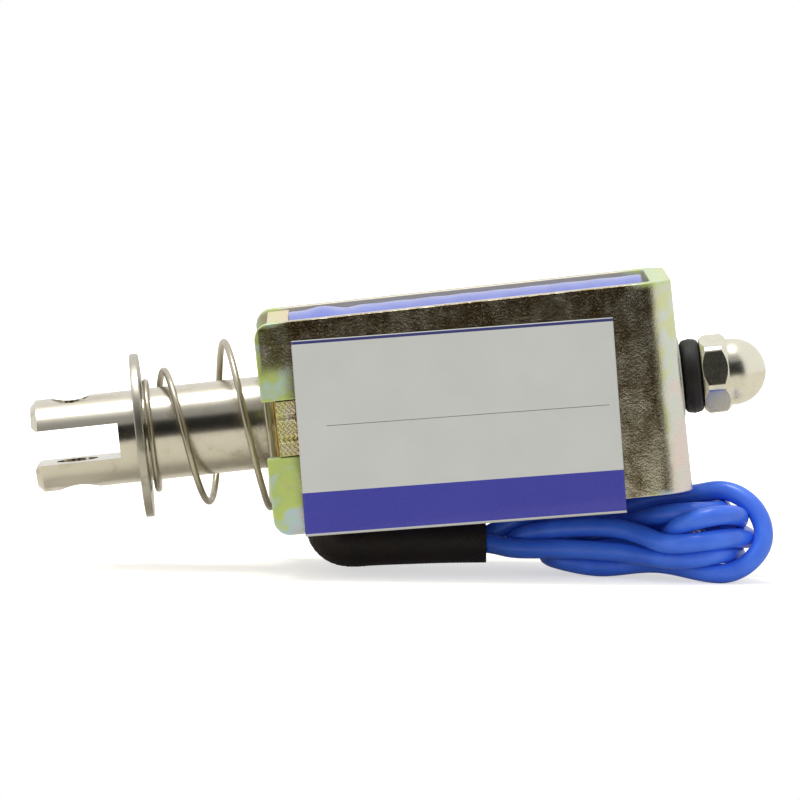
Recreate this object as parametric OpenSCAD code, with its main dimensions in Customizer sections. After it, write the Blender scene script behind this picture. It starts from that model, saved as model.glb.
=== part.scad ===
// Open-frame push-pull solenoid.
// A steel strip bent into a U carries a taped coil. A forked plunger is drawn into the coil
// against a conical return spring, and pushes a rod with a domed nut out at the other end.
// +X runs along the plunger towards the domed nut, +Z across the strip, +Y out of the back.
// The origin is midway between the two mounting holes, on the outer face of the back arm.

/* [Frame] */
// Length of the frame along the plunger
frame_l = 40.5; // [38:0.5:50]
// Depth of the frame over both arms
frame_d = 25.5; // [25:0.5:32]
// Thickness of the steel strip
frame_t = 2; // [1.6:0.1:2.4]
// Outer radius of the two bends
bend_r = 3; // [2.6:0.1:4]
// Corner radius at the free ends of the arms
arm_corner_r = 1.6; // [0.5:0.1:3]
// Diameter of the two mounting holes, tapped for an M3 screw
mount_hole_d = 3; // [2.5:0.1:4]
// Distance between the two mounting holes
mount_pitch = 20; // [10:1:26]
// Flare at the mouth of a mounting hole
mount_flare = 0.25; // [0.1:0.05:0.5]

/* [End plate] */
// Thickness of the end plate
plate_t = 2.1; // [1.6:0.1:2.4]
// Distance from the arms' free ends to the end plate
plate_recess = 1.3; // [0.8:0.1:2]
// How much narrower the end plate is than the strip
plate_inset = 0.5; // [0.2:0.1:1.5]
// Height of the tabs that are staked into the arms
tab_h = 5.3; // [4:0.1:7]
// Gap above and below a staked tab
tab_gap = 0.1; // [0.05:0.05:0.2]
// Depth of the punch marks across a staked tab
stake_depth = 0.35; // [0.2:0.05:0.5]

/* [Coil] */
// Wall of the bobbin's tube
bobbin_wall = 0.75; // [0.6:0.05:1]
// Thickness of a bobbin flange
flange_t = 1.2; // [0.8:0.1:1.6]
// Clearance between the taped coil and each arm
coil_gap = 0.25; // [0.15:0.05:0.8]
// How far the taped coil stands out past each edge of the strip
coil_proud = 0.25; // [0.1:0.05:0.6]
// Thickness of the tape wound round the coil
tape_t = 0.4; // [0.2:0.05:0.6]
// Step that the last layer of tape leaves along the coil
tape_lap_t = 0.08; // [0.05:0.01:0.12]
// Angle that the last layer of tape covers
tape_lap_deg = 55; // [30:5:80]
// Wall of the brass guide tube
guide_wall = 0.35; // [0.25:0.05:0.5]
// Width of the lip that holds the guide tube in the end plate
guide_lip = 0.7; // [0.4:0.1:1]

/* [Plunger] */
// Diameter of the plunger
plunger_d = 9; // [8.5:0.1:9.4]
// Length of the plunger
plunger_l = 37; // [35:0.5:40]
// How far the plunger stands out of the frame at rest
plunger_out = 22.6; // [22:0.1:24]
// Stroke of the plunger
stroke = 10; // [6:0.5:10]
// Length of the tapered nose
nose_l = 3; // [2:0.5:4]
// Diameter of the flat end of the nose
nose_d = 6; // [5.6:0.1:6.4]
// Width of the slot in the fork
slot_w = 3.4; // [2.5:0.1:4]
// Depth of the slot in the fork
slot_depth = 8.4; // [7.5:0.1:9.4]
// Diameter of the pin hole through the fork
fork_hole_d = 4.1; // [3:0.1:4.3]
// Distance of the pin hole from the tip of the fork
fork_hole_in = 4.05; // [3.5:0.05:4.5]
// Chamfer at the tip of the fork
fork_chamfer = 0.6; // [0.2:0.1:1]
// Chamfer along the mouth of the slot
slot_chamfer = 0.35; // [0.1:0.05:0.5]
// Distance of the retaining ring's groove from the tip of the fork
groove_in = 10.55; // [10.4:0.05:11.5]

/* [Fixed core] */
// Diameter of the rivet boss that holds the core in the frame
boss_d = 8; // [7:0.1:8.4]
// How far the riveted boss stands out of the frame
boss_out = 0.35; // [0.2:0.05:0.6]
// Thickness of the washer that keeps the plunger from sticking
shim_t = 0.4; // [0.2:0.1:0.6]

/* [Push rod and nut] */
// Diameter of the push rod
rod_d = 4; // [3:0.1:4.2]
// Length of the rod that is fixed in the plunger
rod_seat = 6; // [4:0.5:8]
// Length of the rod that is screwed into the nut
rod_in_nut = 4.2; // [3:0.1:4.6]
// Thickness of the rubber bumper along the rod
bumper_t = 1.9; // [1.2:0.1:2.5]
// Outer diameter of the rubber bumper
bumper_d = 7.3; // [6.6:0.1:8]
// Width of the nut across its flats
nut_s = 7; // [6.6:0.1:8]
// Width of the nut across its rounded corners
nut_e = 7.66; // [7.2:0.02:8.4]
// Height of the nut's hexagon
nut_hex_h = 2.6; // [2:0.1:3.5]
// Diameter of the nut's dome
dome_d = 6.5; // [6:0.1:6.6]
// Length of the nut over its dome
nut_l = 6.3; // [5.8:0.1:8]
// Turn of the nut on its thread, in degrees
nut_turn = 47; // [0:1:60]

/* [Spring and ring] */
// Thickness of the retaining ring
ring_t = 0.8; // [0.6:0.1:1]
// Outer diameter of the retaining ring
ring_d = 16; // [14:0.5:18]
// Diameter of the groove that the retaining ring sits in
groove_d = 8; // [7.4:0.1:8.2]
// Width of the ring's three prongs
ring_prong_w = 2.8; // [2:0.1:3.5]
// Depth of the hollows between the prongs
ring_relief = 1.5; // [0.8:0.1:2]
// Width of the ring's mouth
ring_mouth_w = 6.9; // [6:0.1:7.4]
// Wire of the return spring
spring_wire = 0.64; // [0.5:0.02:0.66]
// Mean radius of the spring's small end
spring_r_small = 4.95; // [4.9:0.05:5.2]
// Mean radius of the spring's large end
spring_r_large = 8.35; // [7.5:0.05:8.6]

/* [Leads and label] */
// Diameter of a lead over its insulation
lead_d = 1.9; // [1.6:0.1:2]
// Inner diameter of the sleeve over both leads
sleeve_bore = 4; // [3.9:0.1:4.1]
// Wall of the sleeve
sleeve_wall = 0.25; // [0.2:0.05:0.3]
// Depth of the folded hank of leads
hank_d = 11.5; // [8:0.5:14]
// How much shorter the label is than the frame
label_short = 9.5; // [8:0.5:16]
// How much lower the label is than the strip is wide
label_low = 1.6; // [1.4:0.1:6]
// Thickness of the label
label_t = 0.12; // [0.08:0.01:0.2]
// Slant that the label was stuck on at, in degrees
label_slant = 1.9; // [0:0.1:3]

/* [Hidden] */

// Clearances
seat_gap = 0.02;       // between pieces that are pressed or staked together
slide_gap = 0.05;      // radial, between a sliding piece and its bore
groove_gap = 0.05;     // each side of the retaining ring in its groove
stop_gap = 0.05;       // between the bumper and the boss that it rests on
seat_clear = 0.1;      // between the shim and the core at the end of the stroke
cut = 1;               // how far a cutter runs past the face that it opens
fine = 96;             // segments of a round part
small = 48;            // segments of a small round part

// The plunger's axis and the stations along it, measured from the arms' free ends
axis_y = -frame_d / 2;
plate_x = plate_recess;
coil_x = plate_x + plate_t;
base_x = frame_l - frame_t;
tip_x = -plunger_out;
nose_x = tip_x + plunger_l;
seat_x = nose_x + shim_t + stroke + seat_clear;
core_x = seat_x - nose_l;
ring_x = tip_x + groove_in - ring_t / 2;
bumper_x = frame_l + boss_out + stop_gap;
nut_x = bumper_x + bumper_t;

// The coil fills the frame's depth, and the strip is nearly as wide as the coil.
coil_d = frame_d - 2 * frame_t - 2 * coil_gap;
frame_w = coil_d - 2 * coil_proud;

// Radii of what nests round the plunger, and the bobbin's length
guide_r = plunger_d / 2 + slide_gap;
guide_out_r = guide_r + guide_wall;
bobbin_r = guide_out_r + slide_gap;
winding_r = bobbin_r + bobbin_wall;
flange_r = coil_d / 2 - tape_t;
tape_r = flange_r + seat_gap;
rod_bore_r = rod_d / 2 + 2 * slide_gap;
bobbin_l = base_x - coil_x - 2 * seat_gap;
corner_room = 0.5;     // between the coil's far end and the base, clear of the round of the bends
hub_inset = 1.5;       // how much smaller the bobbin's foot is than its flange
tape_lap_from = 140;   // where the last layer of tape starts, in degrees
core_edge = 0.15;      // bevel of the core's rim and of its riveted boss

// The opening under the coil that the leads come out of
exit_l = 5.5;
exit_w = 5;
exit_depth = 2;        // depth of the notch in the bobbin's flange

// The leads hang from the coil's underside.
lead_top = -coil_d / 2;

// Routes of the sleeve's middle and of both leads: along the plunger, across it, and up
// from lead_top
sleeve_route = [
  [6, 0, -1], [6.7, 0, -1.7], [7.7, 0, -2.2], [9, 0, -2.4], [12, 0, -2.6], [16, 0, -2.9],
  [20.2, 0, -3.3]
];
lead_route_a = [
  [9.9, -0.96, -2.65], [13, -0.96, -2.85], [17, -0.96, -3.2], [20.2, -1, -3.55],
  [21.3, -1.3, -3.7], [22.2, -1.8, -3.8]
];
lead_route_b = [
  [9.9, 0.96, -2.25], [13, 0.96, -2.45], [17, 0.96, -2.75], [20.2, 1, -2.95],
  [21.4, 1, -2.6], [22.7, 0.9, -2.2]
];
tail_route = [[6.5, 0.6, 0.35], [7, 0.7, -0.7], [7.5, 0.9, -1.6], [8.1, 0.96, -2.2]];
tail_d = 0.3;
splice_d = 1.5;
splice_l = 1.7;

// The hank seen from the front: a round end under the frame and a larger one beyond it
hank_small = [26, -3.7];
hank_small_r = 3.1;
hank_large = [42.8, -4.6];
hank_large_r = 4.7;

// The label, with its middle along and across the front arm
label_l = frame_l - label_short;
label_h = frame_w - label_low;
label_mid = [frame_l / 2 - 1.55, -label_low];

// The spring's rise from ring to plate and its widening, as shares of the whole, by the angle
// that the wire has turned through. It starts and ends with a closed turn.
spring_rise_by_deg = [
  [-108, 0], [252, 0.037], [360, 0.165], [540, 0.417], [720, 0.669], [900, 0.916],
  [1080, 0.941], [1260, 0.976], [1440, 1]
];
spring_widening_by_deg = [
  [-108, 0], [252, 0.16], [360, 0.32], [540, 0.65], [720, 0.98], [792, 1], [1440, 1]
];
spring_from_deg = -108;
spring_to_deg = 1440;
spring_step_deg = 12;
spring_ease_deg = 43;
spring_gap = 0.01;     // between the spring and what it bears on
spring_x0 = ring_x + ring_t + spring_wire / 2 + spring_gap;
spring_x1 = plate_x - spring_wire / 2 - spring_gap;

// ---------------------------------------------------------------- helpers

// Places a shape drawn round local Z on the plunger's axis, with Z along it from station x.
module on_axis(x = 0) {
  translate([x - frame_l / 2, axis_y, 0])
    rotate([0, 90, 0])
      children();
}

// Places a shape whose X is a station along the plunger and whose Y is counted from its axis.
module at_axis() {
  translate([-frame_l / 2, axis_y, 0])
    children();
}

// Places a lead's shape: stations along the plunger, across its axis, and up from lead_top.
module under_coil() {
  translate([-frame_l / 2, axis_y, lead_top])
    children();
}

module ring_shape(r_in, r_out, h) {
  rotate_extrude($fn = fine)
    translate([r_in, 0])
      square([r_out - r_in, h]);
}

function unit(v) = v / norm(v);

// A smooth curve through the points of a route, with n steps between neighbours.
function curve_at(p, i, t) =
  let (last = len(p) - 1,
       a = p[max(i - 1, 0)], b = p[i], c = p[min(i + 1, last)], d = p[min(i + 2, last)])
  0.5 * (2 * b + (c - a) * t + (2 * a - 5 * b + 4 * c - d) * t * t
         + (3 * b - a - 3 * c + d) * t * t * t);
function smooth_route(p, n) =
  concat([for (i = [0 : len(p) - 2], k = [0 : n - 1]) curve_at(p, i, k / n)], [p[len(p) - 1]]);

// Rings of points round a path, each square to it, with one side kept square to guide.
function path_rings(path, r, sides, guide) =
  let (last = len(path) - 1)
  [for (i = [0 : last])
    let (t = unit(path[min(i + 1, last)] - path[max(i - 1, 0)]),
         u = unit(cross(t, guide)), v = cross(u, t))
    for (k = [0 : sides - 1])
      path[i] + r * (u * cos(360 * k / sides) + v * sin(360 * k / sides))];

function ring_walls(rings, sides, start) =
  [for (i = [0 : rings - 2], k = [0 : sides - 1])
    let (a = start + i * sides + k, b = start + i * sides + (k + 1) % sides)
    [a, a + sides, b + sides, b]];

// A solid cord along a path.
module cord(path, d, sides = 8, guide = [0, 0, 1]) {
  rings = len(path);
  near = [for (k = [0 : sides - 1]) k];
  far = [for (k = [sides - 1 : -1 : 0]) (rings - 1) * sides + k];
  polyhedron(
    points = path_rings(path, d / 2, sides, guide),
    faces = concat([near], ring_walls(rings, sides, 0), [far]),
    convexity = 6);
}

// A hollow sleeve along a path.
module hose(path, bore, wall, sides = 16, guide = [0, 1, 0]) {
  rings = len(path);
  n = rings * sides;
  flip = function (f) [f[3], f[2], f[1], f[0]];
  near = [for (k = [0 : sides - 1])
    let (j = (k + 1) % sides) [k, j, n + j, n + k]];
  far = [for (k = [0 : sides - 1])
    let (j = (k + 1) % sides, m = (rings - 1) * sides) [m + j, m + k, n + m + k, n + m + j]];
  polyhedron(
    points = concat(
      path_rings(path, bore / 2 + wall, sides, guide),
      path_rings(path, bore / 2, sides, guide)),
    faces = concat(
      ring_walls(rings, sides, 0),
      [for (f = ring_walls(rings, sides, n)) flip(f)],
      near, far),
    convexity = 6);
}

// ---------------------------------------------------------------- frame

// A block from x = 0 to l with its two far corners rounded.
module bent_outline(l, w, r) {
  square([l - r, w]);
  translate([0, r])
    square([l, w - 2 * r]);
  for (y = [r, w - r])
    translate([l - r, y])
      circle(r, $fn = fine);
}

// The strip seen from its edge: two arms and the base between them.
module strip_profile() {
  difference() {
    bent_outline(frame_l, frame_d, bend_r);
    translate([-cut, frame_t])
      bent_outline(base_x + cut, frame_d - 2 * frame_t, bend_r - frame_t);
  }
}

// Takes the sharp corner off the end of an arm, right through both arms.
module arm_corner_cut() {
  translate([0, cut, 0])
    rotate([90, 0, 0])
      linear_extrude(frame_d + 2 * cut)
        difference() {
          translate([-cut, -cut])
            square(arm_corner_r + cut);
          translate([arm_corner_r, arm_corner_r])
            circle(arm_corner_r, $fn = small);
        }
}

module u_frame() {
  color("#b9b48a")
    difference() {
      translate([-frame_l / 2, -frame_d, -frame_w / 2])
        linear_extrude(frame_w)
          strip_profile();
      for (side = [0, 1])
        mirror([0, 0, side])
          translate([-frame_l / 2, 0, -frame_w / 2])
            arm_corner_cut();
      translate([-frame_l / 2 - cut, -frame_d - cut, -tab_h / 2 - tab_gap])
        cube([coil_x + cut, frame_d + 2 * cut, tab_h + 2 * tab_gap]);
      on_axis(base_x - cut)
        cylinder(r = boss_d / 2 + seat_gap, h = frame_t + 2 * cut, $fn = fine);
      for (x = [-mount_pitch / 2, mount_pitch / 2])
        translate([x, 0, 0])
          rotate([90, 0, 0])
            mounting_hole_cut();
    }
}

module mounting_hole_cut() {
  translate([0, 0, -cut])
    cylinder(d = mount_hole_d, h = frame_t + 2 * cut, $fn = small);
  rotate_extrude($fn = small)
    polygon([
      [0, -cut], [mount_hole_d / 2 + mount_flare + cut, -cut], [mount_hole_d / 2, mount_flare],
      [0, mount_flare]
    ]);
}

// The plate that closes the open end, with a tab staked into each arm.
module end_plate() {
  plate_w = frame_w - plate_inset;
  plate_d = frame_d - 2 * frame_t - 2 * seat_gap;
  color("#c3bfa0")
    at_axis()
      difference() {
        union() {
          translate([plate_x, -plate_d / 2, -plate_w / 2])
            cube([plate_t, plate_d, plate_w]);
          translate([plate_x, -frame_d / 2, -tab_h / 2])
            cube([plate_t, frame_d, tab_h]);
        }
        translate([plate_x - cut, 0, 0])
          rotate([0, 90, 0])
            cylinder(r = guide_out_r + seat_gap, h = plate_t + 2 * cut, $fn = fine);
        for (side = [-1, 1], z = [-tab_h / 5, tab_h / 5])
          translate([plate_x - cut, side * frame_d / 2, z])
            rotate([45, 0, 0])
              translate([0, -stake_depth * sqrt(0.5), -stake_depth * sqrt(0.5)])
                cube([plate_t + 2 * cut, stake_depth * sqrt(2), stake_depth * sqrt(2)]);
      }
}

// ---------------------------------------------------------------- coil

// The pole piece that the plunger is drawn to, riveted into the base.
module fixed_core() {
  core_r = guide_r - seat_gap;
  mouth_r = plunger_d / 2 + slide_gap / 2;
  end_x = frame_l + boss_out - core_x;
  color("#a9aaa6")
    on_axis(core_x)
      rotate_extrude($fn = fine)
        polygon([
          [rod_bore_r, nose_l], [nose_d / 2 + seat_clear, nose_l], [mouth_r - core_edge, 0],
          [core_r, 0], [core_r, base_x - core_x], [boss_d / 2, base_x - core_x],
          [boss_d / 2, end_x - core_edge], [boss_d / 2 - core_edge, end_x],
          [rod_bore_r + core_edge, end_x], [rod_bore_r, end_x - core_edge]
        ]);
}

// The thin brass tube that the plunger runs in, with its lip on the end plate.
module guide_tube() {
  color("#c9a54b")
    on_axis(plate_x - guide_wall)
      rotate_extrude($fn = fine)
        polygon([
          [guide_r, 0], [guide_out_r + guide_lip, 0],
          [guide_out_r + guide_lip, guide_wall - seat_gap / 2],
          [guide_out_r, guide_wall - seat_gap / 2],
          [guide_out_r, base_x - plate_x + guide_wall - seat_gap],
          [guide_r, base_x - plate_x + guide_wall - seat_gap]
        ]);
}

// The bobbin. Its far end has a smaller foot, so that the flange clears the round of the bends.
module bobbin() {
  flange_1 = bobbin_l - corner_room;
  color("#e6e2d6")
    difference() {
      on_axis(coil_x + seat_gap)
        rotate_extrude($fn = fine)
          polygon([
            [bobbin_r, 0], [flange_r, 0], [flange_r, flange_t], [winding_r, flange_t],
            [winding_r, flange_1 - flange_t], [flange_r, flange_1 - flange_t],
            [flange_r, flange_1], [flange_r - hub_inset, flange_1],
            [flange_r - hub_inset, bobbin_l], [bobbin_r, bobbin_l]
          ]);
      at_axis()
        translate([coil_x - cut, -exit_w / 2, -flange_r - cut])
          cube([flange_t + 2 * cut, exit_w, exit_depth + cut]);
    }
}

module coil_winding() {
  color("#a45a2c")
    on_axis(coil_x + flange_t + 2 * seat_gap)
      ring_shape(
        winding_r + seat_gap, flange_r - seat_gap,
        bobbin_l - corner_room - 2 * flange_t - 2 * seat_gap);
}

// The tape seen from its end, with the step where the last layer stops.
module tape_profile() {
  reach = 2 * coil_d;
  difference() {
    union() {
      circle(coil_d / 2, $fn = fine);
      intersection() {
        circle(coil_d / 2 + tape_lap_t, $fn = fine);
        rotate(tape_lap_from)
          polygon([
            [0, 0], [reach, 0], [reach, reach * tan(tape_lap_deg)]
          ]);
      }
    }
    circle(tape_r, $fn = fine);
  }
}

module coil_tape() {
  color("#5a63bf")
    difference() {
      on_axis(coil_x + seat_gap)
        linear_extrude(bobbin_l - corner_room)
          tape_profile();
      at_axis()
        translate([coil_x - cut, -exit_w / 2, -coil_d / 2 - cut])
          cube([exit_l + cut, exit_w, coil_d / 4 + cut]);
    }
}

// ---------------------------------------------------------------- plunger and what it carries

// The mouth of the fork's slot, seen from the front, with its edges broken.
module slot_profile() {
  polygon([
    [-cut, -slot_w / 2 - slot_chamfer - cut], [slot_chamfer, -slot_w / 2],
    [slot_depth, -slot_w / 2], [slot_depth, slot_w / 2],
    [slot_chamfer, slot_w / 2], [-cut, slot_w / 2 + slot_chamfer + cut]
  ]);
}

module plunger() {
  r = plunger_d / 2;
  groove_0 = groove_in - ring_t / 2 - groove_gap;
  groove_1 = groove_in + ring_t / 2 + groove_gap;
  color("#c9c4ba")
    difference() {
      on_axis(tip_x)
        rotate_extrude($fn = fine)
          polygon([
            [0, 0], [r - fork_chamfer, 0], [r, fork_chamfer],
            [r, groove_0], [groove_d / 2, groove_0], [groove_d / 2, groove_1], [r, groove_1],
            [r, plunger_l - nose_l], [nose_d / 2, plunger_l], [0, plunger_l]
          ]);
      translate([tip_x - frame_l / 2, axis_y + plunger_d, 0])
        rotate([90, 0, 0])
          linear_extrude(2 * plunger_d)
            slot_profile();
      translate([tip_x + fork_hole_in - frame_l / 2, axis_y, -plunger_d])
        cylinder(d = fork_hole_d, h = 2 * plunger_d, $fn = small);
      on_axis(nose_x - rod_seat)
        cylinder(r = rod_d / 2 + seat_gap, h = rod_seat + cut, $fn = small);
    }
}

// The rod through the core, fixed in the plunger and threaded for the nut.
module push_rod() {
  rod_x = nose_x - rod_seat + seat_gap;
  rod_l = nut_x + rod_in_nut - rod_x;
  bevel = 0.4;
  color("#b4b4b0")
    on_axis(rod_x)
      rotate_extrude($fn = small)
        polygon([
          [0, 0], [rod_d / 2 - bevel, 0], [rod_d / 2, bevel], [rod_d / 2, rod_l - bevel],
          [rod_d / 2 - bevel, rod_l], [0, rod_l]
        ]);
}

// The non-magnetic washer on the rod, against the plunger's nose.
module shim_washer() {
  color("#d9c27a")
    on_axis(nose_x + seat_gap)
      ring_shape(rod_d / 2 + seat_gap, nose_d / 2 - seat_gap, shim_t - seat_gap);
}

// An E-shaped ring: three prongs grip the groove, and the mouth opens to the back.
module retaining_ring() {
  grip_r = groove_d / 2 + seat_gap;
  relief_r = grip_r + ring_relief;
  color("#8f8d88")
    on_axis(ring_x)
      linear_extrude(ring_t)
        difference() {
          circle(ring_d / 2, $fn = fine);
          difference() {
            circle(relief_r, $fn = fine);
            for (turn = [-90, 18, 162])
              rotate(turn)
                translate([0, -ring_prong_w / 2])
                  square([ring_d / 2, ring_prong_w]);
          }
          circle(grip_r, $fn = fine);
          translate([-ring_mouth_w / 2, 0])
            square([ring_mouth_w, ring_d]);
        }
}

module bumper_ring() {
  edge_r = 0.6;
  in_r = rod_d / 2 + seat_gap;
  wide = bumper_d / 2 - in_r;
  color("#1c1c1c")
    on_axis(bumper_x)
      rotate_extrude($fn = fine)
        translate([in_r, 0]) {
          square([wide - edge_r, bumper_t]);
          translate([0, edge_r])
            square([wide, bumper_t - 2 * edge_r]);
          for (y = [edge_r, bumper_t - edge_r])
            translate([wide - edge_r, y])
              circle(edge_r, $fn = small);
        }
}

// A domed nut: a hexagon with rounded corners, a short neck and a round cap.
module cap_nut() {
  bevel = 0.45;
  face_r = nut_s / 2 - 0.05;
  blind_end = 0.3;
  dome_x = nut_l - dome_d / 2;
  color("#d5d5d2")
    on_axis(nut_x + seat_gap)
      difference() {
        union() {
          intersection() {
            rotate(nut_turn)
              cylinder(d = nut_s / cos(30), h = nut_hex_h, $fn = 6);
            rotate_extrude($fn = fine)
              polygon([
                [0, 0], [face_r, 0], [nut_e / 2, bevel],
                [nut_e / 2, nut_hex_h - bevel], [face_r, nut_hex_h], [0, nut_hex_h]
              ]);
          }
          cylinder(d = dome_d, h = dome_x, $fn = fine);
          translate([0, 0, dome_x])
            sphere(d = dome_d, $fn = fine);
        }
        translate([0, 0, -cut])
          cylinder(r = rod_d / 2 + seat_gap, h = rod_in_nut + blind_end + cut, $fn = small);
      }
}

// ---------------------------------------------------------------- spring

// Reads a table by angle with its corners rounded off.
function eased(deg, table) =
  (lookup(deg - spring_ease_deg, table) + lookup(deg, table)
   + lookup(deg + spring_ease_deg, table)) / 3;

function spring_point(deg) =
  let (x = spring_x0 + (spring_x1 - spring_x0) * eased(deg, spring_rise_by_deg),
       r = spring_r_small
           + (spring_r_large - spring_r_small) * eased(deg, spring_widening_by_deg))
  [x, -r * sin(deg), r * cos(deg)];

module return_spring() {
  path = [for (deg = [spring_from_deg : spring_step_deg : spring_to_deg]) spring_point(deg)];
  color("#8b8985")
    at_axis()
      cord(path, spring_wire, guide = [1, 0, 0]);
}

// ---------------------------------------------------------------- leads

module lead_sleeve() {
  color("#2e2018")
    under_coil()
      hose(smooth_route(sleeve_route, 2), sleeve_bore, sleeve_wall);
}

module lead_splices() {
  color("#b9bcc0")
    under_coil()
      for (route = [lead_route_a, lead_route_b])
        translate(route[0] - [splice_l + seat_gap, 0, 0])
          rotate([0, 90, 0])
            cylinder(d = splice_d, h = splice_l, $fn = small);
}

module coil_tails() {
  color("#a0522d")
    under_coil()
      for (side = [0, 1])
        mirror([0, side, 0])
          cord(tail_route, tail_d, sides = 8);
}

module lead_wire_a() {
  color("#2f62d8")
    under_coil()
      cord(smooth_route(lead_route_a, 2), lead_d);
}

module lead_wire_b() {
  color("#2f62d8")
    under_coil()
      cord(smooth_route(lead_route_b, 2), lead_d);
}

// An arc of points round mid, from one angle to another.
function arc(mid, r, from, to, n = 16) =
  [for (i = [0 : n]) let (a = from + (to - from) * i / n) mid + r * [cos(a), sin(a)]];

// The folded hank of both leads as one solid, with a small and a large round end.
module lead_hank() {
  span = hank_large - hank_small;
  lean = atan2(span[1], span[0]);
  spread = acos((hank_small_r - hank_large_r) / norm(span));
  color("#2f62d8")
    under_coil()
      translate([0, hank_d / 2, 0])
        rotate([90, 0, 0])
          linear_extrude(hank_d)
            polygon(concat(
              arc(hank_small, hank_small_r, lean + spread, lean + 360 - spread),
              arc(hank_large, hank_large_r, lean - spread, lean + spread)
            ));
}

// ---------------------------------------------------------------- label

// A bare paper label, stuck on the front arm a little askew and past its lower edge.
module label() {
  color("#c2c5c2")
    translate([label_mid[0] - frame_l / 2, -frame_d - label_t, label_mid[1]])
      rotate([0, label_slant, 0])
        translate([-label_l / 2, 0, -label_h / 2])
          cube([label_l, label_t, label_h]);
}

u_frame();
end_plate();
fixed_core();
guide_tube();
bobbin();
coil_winding();
coil_tape();
label();
return_spring();
lead_sleeve();
lead_splices();
coil_tails();
lead_wire_a();
lead_wire_b();
lead_hank();
plunger();
push_rod();
shim_washer();
retaining_ring();
bumper_ring();
cap_nut();
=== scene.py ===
# %% [markdown]
# # A push-pull solenoid
#
# A strip of zinc-plated steel is bent into a U. A coil of wire, wrapped in blue tape,
# fills it, and a forked plunger is drawn into the coil against a conical spring. A rod
# on the plunger pushes a domed nut out at the other end. Two blue leads come out below.
#
# The solid model gives the sizes and the motion. This script gives the pieces their
# look. Everything is in metres, in the solid model's own frame: +X runs along the
# plunger towards the nut, +Y to the back and +Z up. Sizes are written in millimetres
# and multiplied by MM.

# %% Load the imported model
import math

import bmesh
import bpy
import numpy as np
from mathutils import Matrix, Vector


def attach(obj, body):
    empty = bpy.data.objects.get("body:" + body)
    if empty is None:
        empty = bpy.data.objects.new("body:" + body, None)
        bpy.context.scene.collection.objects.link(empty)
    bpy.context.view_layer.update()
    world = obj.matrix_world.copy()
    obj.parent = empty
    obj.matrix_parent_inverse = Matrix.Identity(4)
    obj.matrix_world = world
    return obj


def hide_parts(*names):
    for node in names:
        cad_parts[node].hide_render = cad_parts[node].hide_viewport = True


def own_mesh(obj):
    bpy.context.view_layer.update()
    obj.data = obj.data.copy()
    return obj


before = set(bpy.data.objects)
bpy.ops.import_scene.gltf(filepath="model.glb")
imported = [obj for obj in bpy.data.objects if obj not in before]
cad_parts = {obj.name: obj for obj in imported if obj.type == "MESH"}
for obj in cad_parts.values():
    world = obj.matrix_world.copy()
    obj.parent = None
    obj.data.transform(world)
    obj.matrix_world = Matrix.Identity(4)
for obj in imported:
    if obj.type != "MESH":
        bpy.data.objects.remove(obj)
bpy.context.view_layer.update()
MM = 0.001
print("nodes:", len(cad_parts))

# %% [markdown]
# ## The camera
#
# A long lens from nearly a metre away keeps the round pieces at both ends edge-on. The
# camera looks down a little, and is rolled so that the nut's end of the solenoid is the
# higher one.

# %% Camera
ELEVATION = math.radians(4.0)
ROLL = math.radians(6.15)
LOOK_AT = Vector((-6.92, -25.5, 1.6)) * MM
DISTANCE = 0.9
VIEW_WIDTH = 76.9 * MM

to_camera = Vector((0, -math.cos(ELEVATION), math.sin(ELEVATION)))
level_up = Vector((0, math.sin(ELEVATION), math.cos(ELEVATION)))
right = Vector((math.cos(ROLL), 0, 0)) - math.sin(ROLL) * level_up
up = to_camera.cross(right)

camera_data = bpy.data.cameras.new("camera")
camera_data.sensor_width = 36
camera_data.lens = camera_data.sensor_width * DISTANCE / VIEW_WIDTH
camera_data.clip_start = 0.05
camera = bpy.data.objects.new("camera", camera_data)
bpy.context.scene.collection.objects.link(camera)
camera.matrix_world = (
    Matrix.Translation(LOOK_AT + DISTANCE * to_camera)
    @ Matrix((right, up, to_camera)).transposed().to_4x4()
)
bpy.context.scene.camera = camera
print("lens:", round(camera_data.lens), "mm")

# %% [markdown]
# ## Where things are along the plunger
#
# Like the solid model, the pieces are placed by stations: millimetres along the plunger
# from the arms' free ends, then across from its axis, then up.

# %% Stations
FRAME_L = 40.5
AXIS_Y = -12.75


def place(station, across, height):
    """A point in metres: a station, across from the plunger's axis, and up."""
    return Vector((station - FRAME_L / 2, AXIS_Y + across, height)) * MM
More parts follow.
